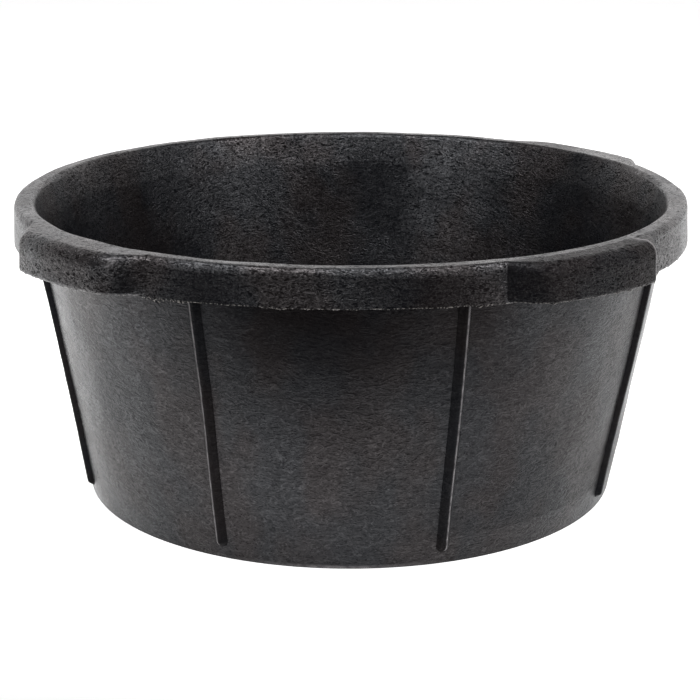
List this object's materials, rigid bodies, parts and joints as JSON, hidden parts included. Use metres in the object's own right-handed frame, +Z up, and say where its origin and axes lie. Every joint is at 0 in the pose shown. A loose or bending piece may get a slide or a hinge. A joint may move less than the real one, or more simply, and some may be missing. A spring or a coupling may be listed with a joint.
{
  "type": "mortar mixing tub",
  "caption": "Round flared mixing tub moulded in black fibre-reinforced rubber, with a thick rim band, hand grips swelling from the rim and slim upright ribs on the wall.",
  "frame": {"origin": "centre of the flat underside, on the ground", "axes": "+Z up along the tub's axis, -Y towards the front, between the two front hand grips"},
  "size_m": [0.6028, 0.6028, 0.266],
  "materials": {
    "moulded_rubber": "matt black moulded rubber with a faint cord-fibre grain, pits and fine scratches",
    "rim_rubber": "matt black moulded rubber, rubbed slightly smoother and paler along the edges"
  },
  "bodies": {
    "root": {"tub_floor": "moulded_rubber", "side_wall": "moulded_rubber", "rim_band": "rim_rubber", "hand_grip_front_left": "rim_rubber", "hand_grip_front_right": "rim_rubber", "hand_grip_rear_right": "rim_rubber", "wall_rib_1": "moulded_rubber", "wall_rib_2": "moulded_rubber", "wall_rib_3": "moulded_rubber", "wall_rib_4": "moulded_rubber", "wall_rib_5": "moulded_rubber", "wall_rib_6": "moulded_rubber", "wall_rib_7": "moulded_rubber", "wall_rib_8": "moulded_rubber"}
  },
  "joints": []
}
